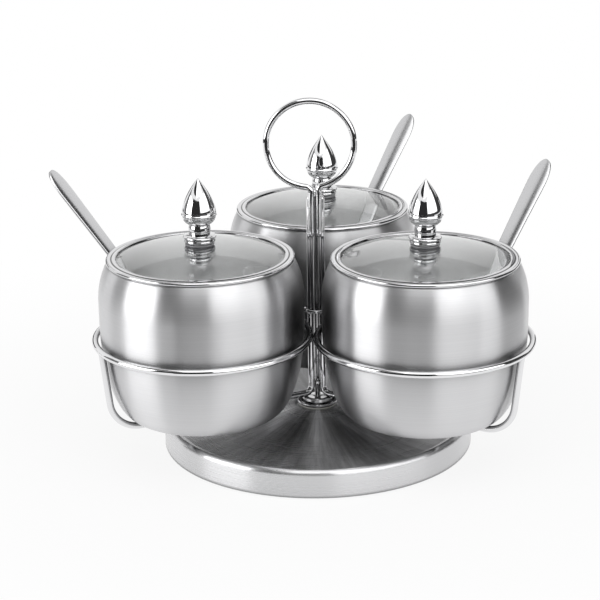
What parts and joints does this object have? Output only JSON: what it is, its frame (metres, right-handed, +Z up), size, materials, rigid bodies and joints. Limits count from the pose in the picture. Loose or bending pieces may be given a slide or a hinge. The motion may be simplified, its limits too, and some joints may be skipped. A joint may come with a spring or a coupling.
{
  "type": "rotating condiment rack",
  "caption": "Turning table rack with wire rings round a post with a loop handle, holding lidded pots with glass lids and spoons, on a round base.",
  "frame": {"origin": "on the turning axis, at the underside of the foot pad that the rack stands on", "axes": "+Z up along the turning axis, -Y towards the viewer with two pots in front, +X to the viewer's right"},
  "size_m": [0.2226, 0.193, 0.1599],
  "materials": {
    "pot_steel": "satin, brushed round the pot",
    "base_steel": "satin, brushed round the base",
    "spoon_steel": "polished",
    "lid_steel": "polished steel",
    "lid_glass": "clear",
    "bright_chrome": "bright plate",
    "seal_rubber": "clear silicone",
    "fixing_steel": "plain",
    "plate_steel": "plain",
    "bush_nylon": "matte",
    "pad_foam": "matte foam"
  },
  "bodies": {
    "base": {"base_shell": "base_steel", "base_plate": "plate_steel", "foot_pad": "pad_foam", "base_socket": "plate_steel", "upper_bush": "bush_nylon", "lower_bush": "bush_nylon"},
    "rack": {"hub_flange": "bright_chrome", "spindle": "bright_chrome", "spindle_washer": "fixing_steel", "spindle_nut": "fixing_steel", "front_left_ring": "bright_chrome", "front_right_ring": "bright_chrome", "back_ring": "bright_chrome", "front_left_cradle_wire": "bright_chrome", "front_right_cradle_wire": "bright_chrome", "back_cradle_wire": "bright_chrome", "post_collar": "bright_chrome", "handle_loop": "bright_chrome"},
    "front_left_pot": {"front_left_pot": "pot_steel"},
    "front_left_lid": {"front_left_lid_ring": "lid_steel", "front_left_lid_glass": "lid_glass", "front_left_knob": "bright_chrome", "front_left_knob_gasket": "seal_rubber", "front_left_lid_seal": "seal_rubber", "front_left_lid_washer": "fixing_steel", "front_left_lid_screw": "fixing_steel"},
    "front_left_spoon": {"front_left_spoon": "spoon_steel"},
    "front_right_pot": {"front_right_pot": "pot_steel"},
    "front_right_lid": {"front_right_lid_ring": "lid_steel", "front_right_lid_glass": "lid_glass", "front_right_knob": "bright_chrome", "front_right_knob_gasket": "seal_rubber", "front_right_lid_seal": "seal_rubber", "front_right_lid_washer": "fixing_steel", "front_right_lid_screw": "fixing_steel"},
    "front_right_spoon": {"front_right_spoon": "spoon_steel"},
    "back_pot": {"back_pot": "pot_steel"},
    "back_lid": {"back_lid_ring": "lid_steel", "back_lid_glass": "lid_glass", "back_knob": "bright_chrome", "back_knob_gasket": "seal_rubber", "back_lid_seal": "seal_rubber", "back_lid_washer": "fixing_steel", "back_lid_screw": "fixing_steel"},
    "back_spoon": {"back_spoon": "spoon_steel"}
  },
  "joints": [
    {"name": "rack_turn", "type": "hinge", "parent": "base", "child": "rack", "pos_m": [0, 0, 0.0171], "axis": [0, 0, 1], "continuous": true},
    {"name": "front_left_pot_lift", "type": "slide", "parent": "rack", "child": "front_left_pot", "axis": [-0.1316, -0.1185, 0.9842], "range_m": [0, 0.15]},
    {"name": "front_left_lid_lift", "type": "slide", "parent": "front_left_pot", "child": "front_left_lid", "axis": [-0.1316, -0.1185, 0.9842], "range_m": [0, 0.07]},
    {"name": "front_left_spoon_slide", "type": "slide", "parent": "front_left_pot", "child": "front_left_spoon", "axis": [-0.6135, 0.2504, 0.749], "range_m": [0, 0.04]},
    {"name": "front_right_pot_lift", "type": "slide", "parent": "rack", "child": "front_right_pot", "axis": [0.1355, -0.0782, 0.9877], "range_m": [0, 0.15]},
    {"name": "front_right_lid_lift", "type": "slide", "parent": "front_right_pot", "child": "front_right_lid", "axis": [0.1355, -0.0782, 0.9877], "range_m": [0, 0.07]},
    {"name": "front_right_spoon_slide", "type": "slide", "parent": "front_right_pot", "child": "front_right_spoon", "axis": [0.4277, 0.5061, 0.749], "range_m": [0, 0.04]},
    {"name": "back_pot_lift", "type": "slide", "parent": "rack", "child": "back_pot", "axis": [0, 0.1564, 0.9877], "range_m": [0, 0.15]},
    {"name": "back_lid_lift", "type": "slide", "parent": "back_pot", "child": "back_lid", "axis": [0, 0.1564, 0.9877], "range_m": [0, 0.07]},
    {"name": "back_spoon_slide", "type": "slide", "parent": "back_pot", "child": "back_spoon", "axis": [0.396, 0.5313, 0.749], "range_m": [0, 0.04]}
  ]
}
